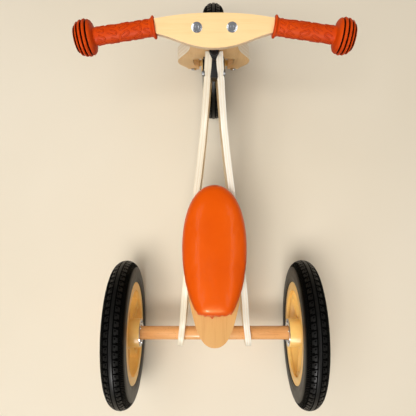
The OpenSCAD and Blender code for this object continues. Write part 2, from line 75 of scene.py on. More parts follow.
def wheel_radius(tyre_node):
    lo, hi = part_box(tyre_node)
    return (hi.z - lo.z) / 2


REAR_L = centre("rear_tyre_left")
REAR_R = centre("rear_tyre_right")
FRONT = centre("front_tyre")
REAR_RAD = wheel_radius("rear_tyre_left")
FRONT_RAD = wheel_radius("front_tyre")
STEER_AXIS = Vector(JOINTS["steering_pivot"]["axis"]).normalized()
RAKE = math.atan2(-STEER_AXIS.y, STEER_AXIS.z)
FORK_Y = Vector((0, math.cos(RAKE), math.sin(RAKE)))
SPLAY = math.radians(6.67)  # turn of each side panel out of the bike's middle plane


def steer_point(x, y, h):
    """Point in the steering frame, in mm from the front axle: x across, y forward of the fork
    board's plane, h up it."""
    return FRONT + Vector((x / MM, 0, 0)) + FORK_Y * (y / MM) + STEER_AXIS * (h / MM)


# ---------------------------------------------------------------- material helpers

class Mat:
    """A node material with short calls for the nodes used here."""

    def __init__(self, name):
        self.m = bpy.data.materials.new(name)
        self.m.use_nodes = True
        self.t = self.m.node_tree
        self.b = next(n for n in self.t.nodes if n.type == "BSDF_PRINCIPLED")
        self.tc = self.t.nodes.new("ShaderNodeTexCoord")

    def node(self, kind, **props):
        n = self.t.nodes.new(kind)
        for k, v in props.items():
            setattr(n, k, v)
        return n

    def link(self, a, b):
        self.t.links.new(a, b)

    def math(self, op, a, b=None, c=None, clamp=False):
        n = self.node("ShaderNodeMath", operation=op, use_clamp=clamp)
        for i, v in enumerate((a, b, c)):
            if v is None:
                continue
            if isinstance(v, (int, float)):
                n.inputs[i].default_value = v
            else:
                self.link(v, n.inputs[i])
        return n.outputs[0]

    def coords(self, scale=(1, 1, 1), rot=(0, 0, 0), source="Object"):
        """Places on the object in metres, or its normals, turned by rot and then scaled."""
        out = self.tc.outputs[source]
        if any(rot):
            r = self.node("ShaderNodeMapping", vector_type="POINT" if source == "Object" else "VECTOR")
            r.inputs["Rotation"].default_value = rot
            self.link(out, r.inputs["Vector"])
            out = r.outputs[0]
        if scale != (1, 1, 1):
            s = self.node("ShaderNodeMapping")
            s.inputs["Scale"].default_value = scale
            self.link(out, s.inputs["Vector"])
            out = s.outputs[0]
        return out

    def axis(self, vec, index):
        """One component of a vector."""
        n = self.node("ShaderNodeSeparateXYZ")
        self.link(vec, n.inputs[0])
        return n.outputs[index]

    def noise(self, vec, scale, detail=4, rough=0.55, distortion=0.0):
        n = self.node("ShaderNodeTexNoise")
        n.inputs["Scale"].default_value = scale
        n.inputs["Detail"].default_value = detail
        n.inputs["Roughness"].default_value = rough
        n.inputs["Distortion"].default_value = distortion
        self.link(vec, n.inputs["Vector"])
        return n.outputs["Fac"]

    def voronoi(self, vec, scale, feature="F1"):
        n = self.node("ShaderNodeTexVoronoi", feature=feature)
        n.inputs["Scale"].default_value = scale
        self.link(vec, n.inputs["Vector"])
        return n.outputs["Distance"]

    def ramp(self, fac, stops):
        n = self.node("ShaderNodeValToRGB")
        while len(n.color_ramp.elements) < len(stops):
            n.color_ramp.elements.new(0.5)
        for e, (place, colour) in zip(n.color_ramp.elements, stops):
            e.position = place
            e.color = (*colour, 1)
        self.link(fac, n.inputs[0])
        return n.outputs[0]

    def mix(self, fac, a, b):
        n = self.node("ShaderNodeMix", data_type="RGBA")
        for sock, v in ((n.inputs[0], fac), (n.inputs[6], a), (n.inputs[7], b)):
            if isinstance(v, tuple):
                sock.default_value = (*v, 1)
            else:
                self.link(v, sock)
        return n.outputs[2]

    def bump(self, height, strength, distance):
        n = self.node("ShaderNodeBump")
        n.inputs["Strength"].default_value = strength
        n.inputs["Distance"].default_value = distance
        self.link(height, n.inputs["Height"])
        self.link(n.outputs[0], self.b.inputs["Normal"])

    def rough(self, fac, lo, hi):
        n = self.node("ShaderNodeMapRange")
        n.inputs["To Min"].default_value = lo
        n.inputs["To Max"].default_value = hi
        self.link(fac, n.inputs["Value"])
        self.link(n.outputs[0], self.b.inputs["Roughness"])

    def color(self, out):
        self.link(out, self.b.inputs["Base Color"])

    def set(self, **values):
        for k, v in values.items():
            self.b.inputs[k.replace("_", " ")].default_value = v


def srgb(r, g, b):
    """Linear colour from 0-255 display values."""
    def linear(c):
        c /= 255
        return c / 12.92 if c <= 0.04045 else ((c + 0.055) / 1.055) ** 2.4
    return (linear(r), linear(g), linear(b))


def shade(colour, factor):
    return tuple(min(1, c * factor) for c in colour)


# ---------------------------------------------------------------- wood

GLUE_WIDTH = 0.055      # half of a glue line, as a share of the layers' pitch
LAYER_WANDER = 0.00035  # how far a layer wanders across the board's edge, in metres
FACE_NORMAL = 0.55      # a surface is an edge while its normal has less than this along the thickness


def stretched(across, along, grain):
    """Texture scale per metre: along on the grain's axis, and across on the other two."""
    scale = [across] * 3
    scale[grain] = along
    return tuple(scale)


def ply_edge(m, rot, ply, edge, edge_dark, lines):
    """Layers of a plywood edge. Returns their colour, the glue lines, and where the edges are."""
    axis, pitch, offset = ply
    across = m.axis(m.coords((1, 1, 1), rot), axis)
    wander = m.noise(m.coords((14, 14, 14), rot), 1.0, 2)
    t = m.math("MULTIPLY_ADD", wander, LAYER_WANDER, m.math("ADD", across, offset))
    t = m.math("DIVIDE", t, pitch)
    line = m.math("PINGPONG", t, 0.5)
    layer = m.math("PINGPONG", m.math("FLOOR", t), 1.0)
    pores = m.noise(m.coords((900, 900, 900), rot), 1.0, 2, 0.7)
    streak = m.noise(m.coords(stretched(40, 300, axis), rot), 1.0, 4, 0.6)
    tone = m.math("MULTIPLY_ADD", pores, 0.34, m.math("MULTIPLY", streak, 0.36))
    tone = m.math("MULTIPLY_ADD", layer, 0.30, tone)
    colour = m.ramp(tone, [(0.30, edge), (0.80, edge_dark)])
    glue = m.math("LESS_THAN", line, GLUE_WIDTH)
    colour = m.mix(m.math("MULTIPLY", glue, lines), colour, shade(edge_dark, 0.62))
    facing = m.math("ABSOLUTE", m.axis(m.coords((1, 1, 1), rot, "Normal"), axis))
    facing = m.math("MULTIPLY", m.math("SUBTRACT", facing, FACE_NORMAL), 6.0)
    on_edge = m.math("SUBTRACT", 1.0, m.math("SMOOTH_MIN", facing, 1.0, 0.1), clamp=True)
    return colour, glue, on_edge


def wood(name, light, dark, grain, rot=(0, 0, 0), ply=None, edge=None, edge_dark=None,
         rough=(0.38, 0.52), seed=0.0, flecks=0.0, lines=0.5):
    """Lacquered wood. grain is the axis 0-2 of the fibres after turning by rot.
    ply = (axis of the board's thickness, pitch in metres, offset) adds layers to the edges, in
    the colours edge to edge_dark. lines is how dark the glue between them is, and flecks how
    strong the short dark rays are."""
    m = Mat(name)
    place = m.node("ShaderNodeVectorMath", operation="ADD")
    m.link(m.coords(stretched(70.0, 4.0, grain), rot), place.inputs[0])
    place.inputs[1].default_value = (seed, seed * 1.7, seed * 0.6)
    bands = m.noise(place.outputs[0], 1.0, 5, 0.6, 0.6)
    fibre = m.noise(m.coords(stretched(900.0, 26.0, grain), rot), 1.0, 3, 0.6)
    tone = m.math("MULTIPLY_ADD", fibre, 0.45, m.math("MULTIPLY", bands, 0.75))
    colour = m.ramp(tone, [(0.33, dark), (0.62, light)])
    if flecks:
        spots = m.voronoi(m.coords(stretched(420.0, 130.0, grain), rot), 1.0)
        mask = m.math("MULTIPLY", m.math("LESS_THAN", spots, 0.16), flecks)
        colour = m.mix(mask, colour, shade(dark, 0.55))
    height = m.math("MULTIPLY_ADD", fibre, 0.7, m.math("MULTIPLY", bands, 0.3))
    if ply:
        edge_colour, glue, on_edge = ply_edge(m, rot, ply, edge, edge_dark, lines)
        colour = m.mix(on_edge, colour, edge_colour)
        height = m.math("ADD", height, m.math("MULTIPLY", m.math("MULTIPLY", glue, on_edge), -0.8))
    m.color(colour)
    m.rough(tone, rough[1], rough[0])
    m.bump(height, 0.25, 0.0004)
    m.set(Coat_Weight=0.10, Coat_Roughness=0.25, Specular_IOR_Level=0.25)
    return m.m


def panel_wood(name, turn, edge, edge_dark, seed):
    """Birch plywood of a side panel, which stands turned about Z."""
    return wood(name, srgb(246, 228, 192), srgb(232, 204, 160), 1, (0, 0, turn), (0, 0.0024, 0.0),
                edge, edge_dark, seed=seed, flecks=0.25, lines=0.25)


# ---------------------------------------------------------------- metal, plastic, rubber, leatherette

def metal(name, colour, lo, hi, scale=350.0):
    m = Mat(name)
    n = m.noise(m.coords(), scale, 4, 0.6)
    big = m.noise(m.coords(), scale / 6, 2, 0.5)
    m.color(m.mix(big, shade(colour, 0.86), shade(colour, 1.06)))
    m.rough(n, lo, hi)
    m.bump(n, 0.15, 0.0002)
    m.set(Metallic=1.0)
    return m.m


def plastic(name, colour, deep, lo, hi, grain, strength, spec=0.5):
    """Moulded or coated surface: colour over deep in soft clouds, with a fine grain."""
    m = Mat(name)
    n = m.noise(m.coords(), grain, 3, 0.6)
    big = m.noise(m.coords(), 22.0, 4, 0.55)
    m.color(m.ramp(big, [(0.32, deep), (0.66, colour)]))
    m.rough(n, lo, hi)
    m.bump(n, strength, 0.0003)
    m.set(Specular_IOR_Level=spec)
    return m.m


def tyre_rubber():
    """Black rubber with a thin film of dust."""
    m = Mat("tyre_rubber")
    n = m.noise(m.coords(), 1500.0, 4, 0.7)
    dust = m.noise(m.coords(), 60.0, 5, 0.65, 0.4)
    m.color(m.ramp(dust, [(0.35, srgb(7, 7, 6)), (0.75, srgb(20, 18, 15))]))
    m.rough(dust, 0.30, 0.50)
    m.bump(n, 0.22, 0.0003)
    m.set(Specular_IOR_Level=0.17)
    return m.m


# Painted shade: the tread grooves' rubber is coloured darker than the tyre's to stand for the shade
# inside them; only the matt finish is real.
def tread_groove_shade_rubber():
    m = Mat("tread_groove_shade_rubber")
    n = m.noise(m.coords(), 900.0, 3, 0.6)
    m.color(m.ramp(n, [(0.3, srgb(1, 1, 1)), (0.7, srgb(5, 5, 4))]))
    m.rough(n, 0.75, 0.9)
    m.set(Specular_IOR_Level=0.04)
    return m.m


def grip_rubber():
    m = Mat("grip_rubber")
    n = m.noise(m.coords(), 1900.0, 3, 0.6)
    big = m.noise(m.coords(), 45.0, 4, 0.6)
    m.color(m.ramp(big, [(0.3, srgb(196, 58, 0)), (0.7, srgb(212, 72, 0))]))
    m.rough(big, 0.44, 0.58)
    m.bump(n, 0.2, 0.0003)
    m.set(Specular_IOR_Level=0.14)
    return m.m


# Painted shade: the ball end's grooves are coloured near-black to stand for the shade inside them.
def grip_groove_shade_rubber():
    m = Mat("grip_groove_shade_rubber")
    n = m.noise(m.coords(), 900.0, 3, 0.6)
    m.color(m.ramp(n, [(0.3, srgb(26, 4, 0)), (0.7, srgb(52, 12, 0))]))
    m.rough(n, 0.7, 0.85)
    m.bump(n, 0.2, 0.0003)
    m.set(Specular_IOR_Level=0.08)
    return m.m


def leatherette():
    """Orange seat cover: small cells with pores, and a warm, narrow gloss."""
    m = Mat("orange_leatherette")
    grain = m.voronoi(m.coords(), 620.0, "DISTANCE_TO_EDGE")
    pores = m.noise(m.coords(), 2600.0, 3, 0.6)
    big = m.noise(m.coords(), 16.0, 4, 0.5)
    m.color(m.ramp(big, [(0.3, srgb(222, 79, 0)), (0.72, srgb(231, 87, 0))]))
    cells = m.math("MINIMUM", m.math("MULTIPLY", grain, 5.0), 1.0)
    height = m.math("MULTIPLY_ADD", pores, 0.25, m.math("MULTIPLY", cells, 0.75))
    m.rough(pores, 0.30, 0.38)
    m.bump(height, 0.16, 0.0004)
    m.set(Specular_IOR_Level=0.36, Specular_Tint=(1.0, 0.6, 0.2, 1.0))
    m.set(Coat_Weight=0.10, Coat_Roughness=0.08)
    return m.m


FORK_TURN = (-RAKE, 0, 0)  # turns the steering's boards upright
M = {
    # The left panel's edge colours are painted darker than the right panel's, as painted shade; both
    # panels are the same birch plywood.
    "panel_r": panel_wood("birch_panel_right", -SPLAY, srgb(254, 249, 236), srgb(244, 232, 208), 3.1),
    "panel_l": panel_wood("birch_panel_left", SPLAY, srgb(247, 238, 217), srgb(236, 222, 194), 7.7),
    "seat": wood("birch_seat_board", srgb(220, 166, 98), srgb(200, 138, 72), 1, (0, 0, 0),
                 (2, 0.0026, 0.0008), srgb(242, 226, 192), srgb(216, 184, 138), seed=11.3),
    "bar": wood("maple_handlebar_board", srgb(245, 209, 152), srgb(238, 196, 135), 0, FORK_TURN,
                (2, 0.0029, 0.0), srgb(252, 226, 192), srgb(232, 198, 160), seed=5.9, lines=0.3),
    "fork": wood("birch_fork_board", srgb(246, 204, 140), srgb(228, 180, 112), 2, FORK_TURN,
                 (1, 0.0030, 0.0003), srgb(255, 240, 216), srgb(244, 218, 186), seed=2.2, lines=0.35),
    "block": wood("birch_seat_blocks", srgb(226, 196, 150), srgb(200, 160, 112), 0, (0, 0, 0),
                  (1, 0.0025, 0.0), srgb(238, 220, 188), srgb(206, 172, 130), seed=9.9),
    "beech": wood("beech_dowel", srgb(238, 176, 112), srgb(208, 138, 80), 0, seed=4.4,
                  rough=(0.22, 0.32), flecks=0.6),
    "zinc": metal("bright_zinc", (0.62, 0.65, 0.70), 0.08, 0.16),
    "dull": metal("dull_zinc", (0.20, 0.21, 0.22), 0.34, 0.50),
    "steel": metal("ground_steel", (0.56, 0.57, 0.58), 0.22, 0.42, 700.0),
    "black": plastic("black_powder_coat", (0.010, 0.010, 0.011), (0.005, 0.005, 0.006),
                     0.40, 0.56, 2200.0, 0.3, 0.25),
    "valve": plastic("black_valve_rubber", (0.03, 0.03, 0.03), (0.018, 0.018, 0.018),
                     0.5, 0.66, 1500.0, 0.2),
    "rim": plastic("cream_moulded_rim", srgb(254, 212, 126), srgb(248, 198, 106),
                   0.34, 0.46, 1400.0, 0.10),
    "tyre": tyre_rubber(),
    "tread_groove": tread_groove_shade_rubber(),
    "grip": grip_rubber(),
    # painted shade at the feet of the grip's raised lines
    "grip_foot_shade": plastic("grip_shaded_rubber", srgb(150, 36, 0), srgb(168, 46, 0),
                         0.6, 0.75, 900.0, 0.3, 0.10),
    "groove": grip_groove_shade_rubber(),
    "pad": leatherette(),
}


# ---------------------------------------------------------------- looks of the carried parts

WELD = 0.00002                  # corners closer than this, in metres, are one
ROUND_ANGLE = math.radians(32)  # edges sharper than this are rounded
SHARP_ANGLE = math.radians(30)  # on parts that aren't rounded, sharper edges stay crisp


def dress(node, key, radius, segments):
    """Gives a carried node its material, and rounds its sharp edges to the radius in metres."""
    o = NODES[node]
    o.data.materials.clear()
    o.data.materials.append(M[key])
    for p in o.data.polygons:
        p.use_smooth = True
    if radius == 0:
        o.data.set_sharp_from_angle(angle=SHARP_ANGLE)
        return
    w = o.modifiers.new("weld", "WELD")
    w.merge_threshold = WELD
    b = o.modifiers.new("edge_round", "BEVEL")
    b.width = radius
    b.segments = segments
    b.limit_method = "ANGLE"
    b.angle_limit = ROUND_ANGLE
    b.use_clamp_overlap = True
    b.miter_outer = "MITER_ARC"
    b.harden_normals = True


# Material, edge radius in metres, steps of the rounding, nodes
DRESSING = [
    ("panel_l", 0.0009, 3, ["frame_panel_left"]),
    ("panel_r", 0.0009, 3, ["frame_panel_right"]),
    ("fork", 0.0018, 3, ["fork_board"]),
    ("bar", 0.0011, 3, ["handlebar_board"]),
    ("seat", 0.0022, 3, ["seat_board"]),
    ("block", 0.001, 3, ["seat_block_front", "seat_block_rear"]),
    ("beech", 0.0008, 3, ["rear_dowel"]),
    ("black", 0.0005, 2, ["head_barrel", "upper_bracket", "lower_bracket", "kingpin"]),
    ("dull", 0.0003, 2, ["head_bolts", "head_nuts"]),
    ("zinc", 0.0003, 2, ["seat_block_bolts", "seat_screws", "dowel_pins", "rear_axle_left",
                         "rear_axle_right", "axle_washers", "bracket_screws", "kingpin_nut",
                         "handlebar_bolts", "barrel_nuts", "front_axle", "axle_screws",
                         "hub_ring_left", "hub_ring_right", "hub_screws_left", "hub_screws_right"]),
    ("steel", 0, 0, ["head_bushes", "front_bearings", "rear_bearings_left", "rear_bearings_right"]),
    ("valve", 0, 0, ["front_valve", "rear_valve_left", "rear_valve_right"]),
    ("rim", 0.0022, 3, ["front_rim", "rear_rim_left", "rear_rim_right"]),
    ("rim", 0.0008, 2, ["front_spacers"]),
]
for key, radius, segments, nodes in DRESSING:
    for node in nodes:
        dress(node, key, radius, segments)


# ---------------------------------------------------------------- mesh helpers

CREASE_ANGLE = math.radians(40)  # edges of the made pieces sharper than this stay crisp


def add_object(name, data):
    o = bpy.data.objects.new(name, data)
    bpy.context.scene.collection.objects.link(o)
    return o


def make(name, verts, faces, body, mat):
    """A smooth-shaded rubber piece that rides on a body."""
    me = bpy.data.meshes.new(name)
    me.from_pydata(verts, [], faces)
    me.materials.append(M[mat])
    me.validate()
    me.polygons.foreach_set("use_smooth", [True] * len(me.polygons))
    me.set_sharp_from_angle(angle=CREASE_ANGLE)
    o = add_object(name, me)
    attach(o, body)
    return o


def grid_faces(rows, cols, close_rows=False):
    """Faces of a tube of rows rings with cols points each, whose ends may meet in a torus."""
    faces = []
    for i in range(rows if close_rows else rows - 1):
        a = (i % rows) * cols
        b = ((i + 1) % rows) * cols
        for j in range(cols):
            k = (j + 1) % cols
            faces.append((a + j, a + k, b + k, b + j))
    return faces


def smooth(e0, e1, x):
    """Rises smoothly from 0 at e0 to 1 at e1."""
    t = np.clip((x - e0) / (e1 - e0), 0, 1)
    return t * t * (3 - 2 * t)


# ---------------------------------------------------------------- tyres

TYRE_HALF = 23.0  # half the tyre's width, which is also its radius at the crown
SIDEWALL = 99.0   # stands for the distance of a sidewall point, which has no tread
# Bands of the tread, in mm along the surface from the crown, and how deep they are cut
CENTRE_GROOVE, CENTRE_DEPTH = (3.4, 5.0), 1.7
BLOCKS, BLOCK_DEPTH = (5.3, 14.6), 1.8
NOTCHES, NOTCH_DEPTH = (6.9, 9.8), 1.3
NICKS, NICK_DEPTH = (9.8, 14.6), 1.1
OUTER_GROOVE, OUTER_DEPTH = (14.8, 16.3), 1.5
FINE_RIBS, FINE_DEPTH = (16.6, 27.5), 1.15
GROOVE_LOOK = -0.5  # faces that lie deeper than this get the grooves' material, whose darker colour is painted shade


def within(u, band):
    return band[0] < u < band[1]


def tread(u, side, rib, part):
    """Depths round the tyre, at u mm from the crown on one side. Each rib has four parts."""
    h = np.zeros(len(rib))
    middle = (part >= 1) & (part <= 2)
    if within(u, CENTRE_GROOVE):
        h -= CENTRE_DEPTH
    elif within(u, BLOCKS):
        # every third rib is cut away between blocks, one side of the tyre a rib ahead
        cell = (rib + (1 if side > 0 else 0)) % 3
        h = np.where((cell == 2) & middle, -BLOCK_DEPTH, h)
        if within(u, NOTCHES):
            h = np.where((cell == 0) & middle, -NOTCH_DEPTH, h)
        if within(u, NICKS):
            h = np.where((cell == 1) & (part == 3), -NICK_DEPTH, h)
    elif within(u, OUTER_GROOVE):
        h -= OUTER_DEPTH
    elif within(u, FINE_RIBS):
        # the fine ribs run out towards the sidewall
        h = np.where(part >= 2, -FINE_DEPTH * smooth(28.2, 25.6, u), h)
    return h


def slant(u):
    """How far the tread leans along the tyre at u mm from the crown, in ribs."""
    if u == SIDEWALL:
        return 0.0
    return 0.55 * smooth(5.0, 15.0, u) + 1.9 * smooth(15.5, 28.0, u)


def tyre(name, node, c, radius, ribs, body):
    """Treaded tyre: a smooth centre rib, hooked blocks each side of it, slanted fine ribs on the
    shoulders and plain sidewalls with a moulded ring."""
    crown = radius * MM - TYRE_HALF
    bead = radius * MM - 2 * TYRE_HALF
    # Distances along the surface from the crown, for one half, then mirrored
    across = [0, 1.6, 3.0, 3.5, 4.9, 5.4, 6.6, 7.0, 9.6, 10.0, 12.0, 14.4, 14.9, 16.2, 16.7, 18.2,
              20.0, 22.0, 24.2, 26.4, 27.4, 28.4, 30.0, 32.0, 34.2, 36.13]
    # Sidewall and bead: distance from the tyre's middle plane, and radius
    lower = [(TYRE_HALF - 0.05, crown - 3), (TYRE_HALF - 0.35, bead + 12),
             (TYRE_HALF - 0.1, bead + 8.6), (TYRE_HALF - 0.55, bead + 7.9),
             (TYRE_HALF - 0.9, bead + 5), (21.6, bead + 1.9), (20.9, bead + 0.7),
             (19.4, bead + 0.25), (17.85, bead + 0.1), (17.75, bead - 4.7)]
    # Each profile point: distance from the crown, place across, radius, and the outward direction
    prof = [(u, TYRE_HALF * math.sin(u / TYRE_HALF), crown + TYRE_HALF * math.cos(u / TYRE_HALF),
             math.sin(u / TYRE_HALF), math.cos(u / TYRE_HALF)) for u in across]
    prof += [(SIDEWALL, x, r, 1.0, 0.0) for x, r in lower]
    n = ribs * 4
    part_start = np.array([0.0, 0.13, 0.55, 0.68])
    step = 2 * math.pi / ribs
    base = (np.repeat(np.arange(ribs), 4) + np.tile(part_start, ribs)) / ribs * 2 * math.pi
    rib, part = np.arange(n) // 4, np.arange(n) % 4
    rows = [(-1, p) for p in reversed(prof)] + [(1, p) for p in prof[1:]]
    verts = []
    depths = []
    for side, (u, x, r, nx, nr) in rows:
        h = tread(u, side, rib, part)
        th = base + step * slant(u)
        rr = (r + h * nr) / MM
        xx = side * (x + h * nx) / MM
        for k in range(n):
            verts.append((c.x + xx[k], c.y + rr[k] * math.cos(th[k]), c.z + rr[k] * math.sin(th[k])))
        depths.extend(h)
    faces = grid_faces(len(rows), n, close_rows=True)
    o = make(name, verts, faces, body, "tyre")
    # the tread's grooves are matt, and their colour, darker than the tyre's, is painted shade
    o.data.materials.append(M["tread_groove"])
    for f in o.data.polygons:
        if sum(depths[v] for v in f.vertices) / 4 < GROOVE_LOOK:
            f.material_index = 1
    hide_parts(node)


FRONT_RIBS, REAR_RIBS = 168, 204
tyre("tyre_front_treaded", "front_tyre", FRONT, FRONT_RAD, FRONT_RIBS, "front_wheel")
tyre("tyre_rear_left_treaded", "rear_tyre_left", REAR_L, REAR_RAD, REAR_RIBS, "rear_wheel_left")
tyre("tyre_rear_right_treaded", "rear_tyre_right", REAR_R, REAR_RAD, REAR_RIBS, "rear_wheel_right")


# ---------------------------------------------------------------- grips

BAR_X = 88.0                   # where the grips start, across from the middle of the bar
BAR_Y, BAR_H = 3.0, 365.0      # the bar's middle, forward of the front axle and up the fork board
SWEEP = math.radians(8.1)      # how far the grips lean back
GRIP_SIDES = 176
SOCKET_R, SOCKET_DEEP = 9.6, 110.0
BALL, BALL_LONG = 93.0, 29.5   # where the ball end starts along the grip, and its length
BALL_GROOVES = (6.2, 26.9)     # stretch of the ball end that has the grooves
WALL_R, FLOOR_R = 25.4, 22.6   # a groove's faces lie inside the first, and reach in past the second
PATTERN_START = 9              # the raised pattern's stretch of the tube
PATTERN_END = BALL - 2.5
PATTERN_FADE = 1.5             # how far it takes to reach its full height
PATTERN_R = 13.2               # the tube's radius that the pattern is laid out on
PATTERN_ROUND = 7              # outlines round the tube
PATTERN_ROW = 18.5             # their pitch along it
PATTERN_HIGH = 0.7
CAPSULE_R = 2.75               # of an outline's round ends
CAPSULE_LEAN, CAPSULE_LONG = 1.9, 4.1  # from an outline's middle to those ends' centres
LINE_TOP, LINE_FOOT = 0.35, 1.15       # a raised line's top and foot, either side of its middle
HOOK_END, HOOK_SLOPE = 3.4, 0.46       # where a hook's outline stops, and how its end leans
FOOT_SHADE_HEIGHTS = (0.06, 0.42)    # faces on the slopes of the raised lines get the darker foot material, which is painted shade


def segment(u, v, u0, v0, u1, v1):
    """Distance from (u, v) to the segment between two points, all in mm."""
    du, dv = u1 - u0, v1 - v0
    t = np.clip(((u - u0) * du + (v - v0) * dv) / (du * du + dv * dv), 0, 1)
    return np.hypot(u - u0 - t * du, v - v0 - t * dv)


def emboss(phi, z):
    """Height of the raised outlines on the tube: slanted capsules and hooks in staggered rows."""
    across = 2 * math.pi * PATTERN_R / PATTERN_ROUND
    h = np.zeros_like(phi)
    u = phi * PATTERN_R
    row = np.floor(z / PATTERN_ROW)
    for dr in (-1, 0, 1):
        zc = (row + dr + 0.5) * PATTERN_ROW
        shift = np.where((row + dr) % 2 == 0, 0.0, 0.5)
        col = np.floor(u / across - shift)
        for dc in (-1, 0, 1):
            du = u - (col + dc + shift + 0.5) * across
            dz = z - zc
            kind = (col + dc + 2 * (row + dr)) % 3
            lean = np.where(kind == 1, -1.0, 1.0)
            d = segment(du, dz, -CAPSULE_LEAN * lean, -CAPSULE_LONG, CAPSULE_LEAN * lean, CAPSULE_LONG)
            outline = np.abs(d - CAPSULE_R)
            # the hooks are open at one end
            gap = (kind == 2) & (dz + du * lean * HOOK_SLOPE > HOOK_END)
            h = np.maximum(h, np.where(gap, 0, 1 - smooth(LINE_TOP, LINE_FOOT, outline)))
    return h * PATTERN_HIGH


def ridge(a, b, r0, r1, r2, deep):
    """Groove floor of radius deep before a ridge from a to b, then the ridge with rounded edges.
    r0, r1 and r2 are the ridge's radii at its start, middle and end."""
    return [(deep + 0.4, a - 2.35), (deep, a - 2.0), (deep, a - 0.6), (deep + 0.5, a - 0.25),
            (r0 - 2.0, a - 0.2), (r0 - 0.7, a - 0.1), (r0 - 0.15, a + 0.3), (r1, a + (b - a) * 0.5),
            (r2 - 0.15, b - 0.3), (r2 - 0.7, b + 0.1), (r2 - 2.0, b + 0.2)]


def grip_profile():
    """Radius and place along the grip, in mm, from the bead flange to the ball end's tip."""
    z0 = BALL
    prof = [(SOCKET_R, 0.45), (15.4, 0.45), (16.4, 0.8), (16.95, 1.6), (17.05, 2.5), (16.8, 3.5),
            (16.0, 4.2), (15.0, 4.8), (14.2, 5.4), (13.6, 6.2), (13.2, 7.2), (12.9, 8.6)]
    prof += [(12.75 + 0.45 * (z - 7) / 80, z) for z in np.arange(9.2, z0 - 1.6, 0.55)]
    prof += [(13.45, z0 - 1.2), (14.1, z0 - 0.5), (15.6, z0 + 0.1), (18.4, z0 + 0.6),
             (21.4, z0 + 1.4), (23.8, z0 + 2.7), (25.3, z0 + 4.4), (26.0, z0 + 6.2),
             (26.0, z0 + 5.8), (25.4, z0 + 6.3), (24.2, z0 + 6.4)]
    prof += ridge(z0 + 9.0, z0 + 12.8, 26.8, 27.5, 27.2, 18.6)
    prof += ridge(z0 + 15.6, z0 + 19.1, 26.9, 26.7, 25.9, 19.1)
    prof += ridge(z0 + 21.8, z0 + 24.3, 24.8, 24.3, 23.3, 18.1)
    prof += [(15.6, z0 + 24.7), (15.2, z0 + 25.4), (15.6, z0 + 26.6), (18.9, z0 + 26.8),
             (20.0, z0 + 27.1), (18.6, z0 + 28.0), (14.8, z0 + 28.9), (10.5, z0 + 29.3),
             (5.0, z0 + 29.45)]
    return prof


def grip(name, node, sgn):
    """Rubber grip: bead flange, embossed tube and a ball end with deep grooves."""
    n = GRIP_SIDES
    phi = np.arange(n) / n * 2 * math.pi
    ax = Vector((sgn * math.cos(SWEEP), 0, 0)) - FORK_Y * math.sin(SWEEP)
    e1 = STEER_AXIS
    e2 = ax.cross(e1)
    root = steer_point(sgn * BAR_X, BAR_Y, BAR_H)

    def ring(z, radii):
        """Points round the axis, z along the grip."""
        mid = root + ax * (z / MM)
        return [tuple(mid + (e1 * math.cos(a) + e2 * math.sin(a)) * (r / MM)) for a, r in zip(phi, radii)]

    prof = grip_profile()
    verts = []
    relief = []
    for r, z in prof:
        h = np.zeros(n)
        if PATTERN_START < z < PATTERN_END:
            fade = (smooth(PATTERN_START, PATTERN_START + PATTERN_FADE, z)
                    * smooth(PATTERN_END, PATTERN_END - PATTERN_FADE, z))
            h = emboss(phi, np.full(n, z)) * float(fade)
        verts += ring(z, r + h)
        relief.extend(h)
    faces = grid_faces(len(prof), n)
    tip = len(verts)
    verts.append(tuple(root + ax * ((BALL + BALL_LONG) / MM)))
    last = (len(prof) - 1) * n
    faces += [(last + k, last + (k + 1) % n, tip) for k in range(n)]
    # inner wall and floor of the socket, closing the rubber around the bar's end
    inner = len(verts)
    verts += ring(SOCKET_DEEP, [SOCKET_R] * n)
    faces += [(inner + k, inner + (k + 1) % n, (k + 1) % n, k) for k in range(n)]
    floor_mid = len(verts)
    verts.append(tuple(root + ax * (SOCKET_DEEP / MM)))
    faces += [(inner + (k + 1) % n, inner + k, floor_mid) for k in range(n)]
    if sgn < 0:
        faces = [tuple(reversed(f)) for f in faces]
    o = make(name, verts, faces, "steering", "grip")
    # the grooves get matt rubber whose near-black colour is painted shade, and the feet of the raised
    # lines a darker orange, also painted shade
    o.data.materials.append(M["groove"])
    o.data.materials.append(M["grip_foot_shade"])
    groove_start, groove_end = BALL + BALL_GROOVES[0], BALL + BALL_GROOVES[1]
    for f in o.data.polygons:
        far = [(Vector(o.data.vertices[v].co) - root) for v in f.vertices]
        along = [q.dot(ax) * MM for q in far]
        radius = [(q - ax * q.dot(ax)).length * MM for q in far]
        in_grooves = groove_start < min(along) and max(along) < groove_end
        on_outside = max(f.vertices) < len(relief)
        if in_grooves and max(radius) < WALL_R and min(radius) < FLOOR_R:
            f.material_index = 1
        elif on_outside and within(sum(relief[v] for v in f.vertices) / 4, FOOT_SHADE_HEIGHTS):
            f.material_index = 2
    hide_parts(node)


grip("grip_left_embossed", "grip_left", -1)
grip("grip_right_embossed", "grip_right", 1)


# ---------------------------------------------------------------- seat cushion

PAD_LO, PAD_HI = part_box("seat_cushion")
PAD_THICK = 36.0   # thickness that the cushion's section is drawn at, in mm
PAD_CROWN = 35.7   # height of its middle at that thickness
PAD_SPINE = 60.0   # how far from each end the line stops that the section shrinks towards
VOXEL = 0.0045
PIN_BAND = 0.003   # the cover is held below this height above its base
BASE_GAP = 0.0002  # least height that the swollen cover keeps above its base
SWELL_CAP = 0.005  # furthest that the padding may swell, in metres
SWELL_FRAMES = 20


def bez(a, b, c, d, n):
    """Points of a cubic curve from a to d, without d itself."""
    a, b, c, d = (np.array(v, float) for v in (a, b, c, d))
    return [tuple((1 - t) ** 3 * a + 3 * (1 - t) ** 2 * t * b + 3 * (1 - t) * t * t * c + t ** 3 * d)
            for t in [i / n for i in range(n)]]


